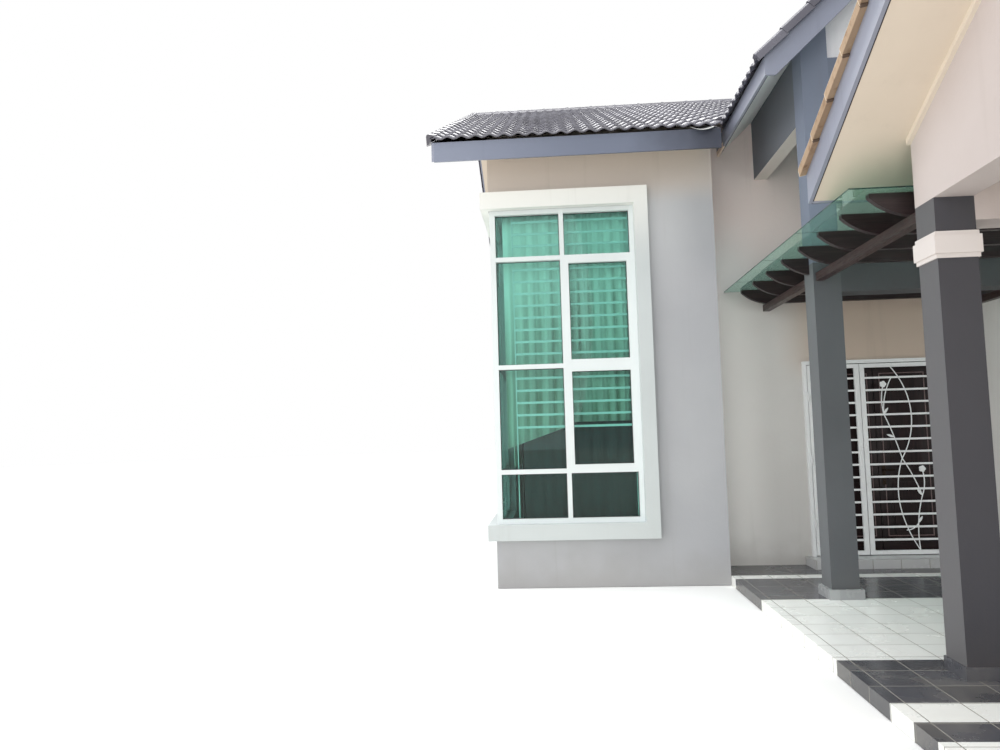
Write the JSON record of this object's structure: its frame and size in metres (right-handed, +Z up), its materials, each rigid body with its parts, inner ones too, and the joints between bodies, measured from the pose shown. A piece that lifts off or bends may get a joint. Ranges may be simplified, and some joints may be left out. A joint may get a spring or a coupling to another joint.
{
  "type": "bungalow",
  "caption": "Single-storey family house with corner windows, a steep entry gable on tall columns, a glass canopy and a gabled car porch; the door grille and timber door leaves swing",
  "frame": {"origin": "On the ground, at the middle of the footprint of the roofs and porch floor", "axes": "+Z up, +X to the right of someone facing the front, -Y out of the front of the house towards the car porch"},
  "size_m": [9.98, 19.43, 7.446],
  "materials": {
    "wing_plaster": "pale blue-grey painted cement plaster",
    "entry_plaster": "grey painted cement plaster",
    "porch_plaster": "cream painted cement plaster",
    "column_paint": "dark grey painted plaster",
    "beam_paint": "blue-grey painted plaster",
    "white_paint": "white painted plaster",
    "board_paint": "blue-grey gloss painted fascia board",
    "soffit_paint": "cream painted ceiling sheet",
    "roof_tile": "dark grey concrete roof tile, double roll",
    "floor_tile": "glazed ceramic floor tile",
    "pale_tile": "pale grey glazed tile",
    "dark_tile": "dark grey glazed tile",
    "dark_timber": "dark red-brown stained timber",
    "green_glass": "green tinted glass",
    "window_glass": "green tinted window glass",
    "white_metal": "white powder-coated aluminium",
    "grille_metal": "white powder-coated steel",
    "door_timber": "dark varnished timber"
  },
  "bodies": {
    "house": {"bedroom_front_wall": "wing_plaster", "living_front_wall": "wing_plaster", "left_side_wall": "wing_plaster", "right_side_wall": "wing_plaster", "bedroom_return_wall": "entry_plaster", "living_return_wall": "entry_plaster", "entry_wall_left": "entry_plaster", "entry_wall_right": "entry_plaster", "entry_wall_over_door": "entry_plaster", "rear_wall": "wing_plaster", "house_floor": "floor_tile", "porch_floor": "floor_tile", "door_step": "floor_tile", "main_roof_front": "roof_tile", "main_roof_rear": "roof_tile", "main_fascias": "board_paint", "main_bargeboards": "board_paint", "main_soffits": "soffit_paint", "entry_roof_left": "roof_tile", "entry_roof_right": "roof_tile", "entry_fascias": "board_paint", "entry_bargeboards": "board_paint", "entry_soffits": "soffit_paint", "entry_side_beams": "beam_paint", "entry_front_beam": "beam_paint", "entry_columns": "column_paint", "entry_column_feet": "pale_tile", "entry_gable_panel": "white_paint", "link_beam": "column_paint", "porch_columns": "column_paint", "porch_column_feet": "dark_tile", "porch_column_bands": "white_paint", "porch_side_beams": "porch_plaster", "porch_cross_beams": "porch_plaster", "porch_gable_walls": "porch_plaster", "porch_roof_front": "roof_tile", "porch_roof_rear": "roof_tile", "porch_fascias": "board_paint", "porch_bargeboards": "board_paint", "porch_soffits": "soffit_paint", "porch_ceiling": "soffit_paint", "roof_ridges": "roof_tile", "canopy_rafters": "dark_timber", "canopy_purlins": "dark_timber", "canopy_glass": "green_glass", "window_surrounds": "white_paint", "corner_window_frames": "white_metal", "plain_window_frames": "white_metal", "window_glass": "window_glass", "grille_frame": "grille_metal", "timber_door_frame": "door_timber"},
    "grille_leaf_narrow_body": {"grille_leaf_narrow": "grille_metal"},
    "grille_leaf_wide_body": {"grille_leaf_wide": "grille_metal"},
    "timber_leaf_left_body": {"timber_leaf_left": "door_timber"},
    "timber_leaf_right_body": {"timber_leaf_right": "door_timber"}
  },
  "joints": [
    {"name": "grille_narrow_hinge", "type": "hinge", "parent": "house", "child": "grille_leaf_narrow_body", "pos_m": [-0.792, 0.171, 1.288], "axis": [0, 0, -1], "range_deg": [0, 90]},
    {"name": "grille_wide_hinge", "type": "hinge", "parent": "house", "child": "grille_leaf_wide_body", "pos_m": [0.792, 0.171, 1.288], "axis": [0, 0, 1], "range_deg": [0, 90]},
    {"name": "timber_left_hinge", "type": "hinge", "parent": "house", "child": "timber_leaf_left_body", "pos_m": [-0.792, 0.379, 1.288], "axis": [0, 0, 1], "range_deg": [0, 90]},
    {"name": "timber_right_hinge", "type": "hinge", "parent": "house", "child": "timber_leaf_right_body", "pos_m": [0.792, 0.379, 1.288], "axis": [0, 0, -1], "range_deg": [0, 90]}
  ]
}
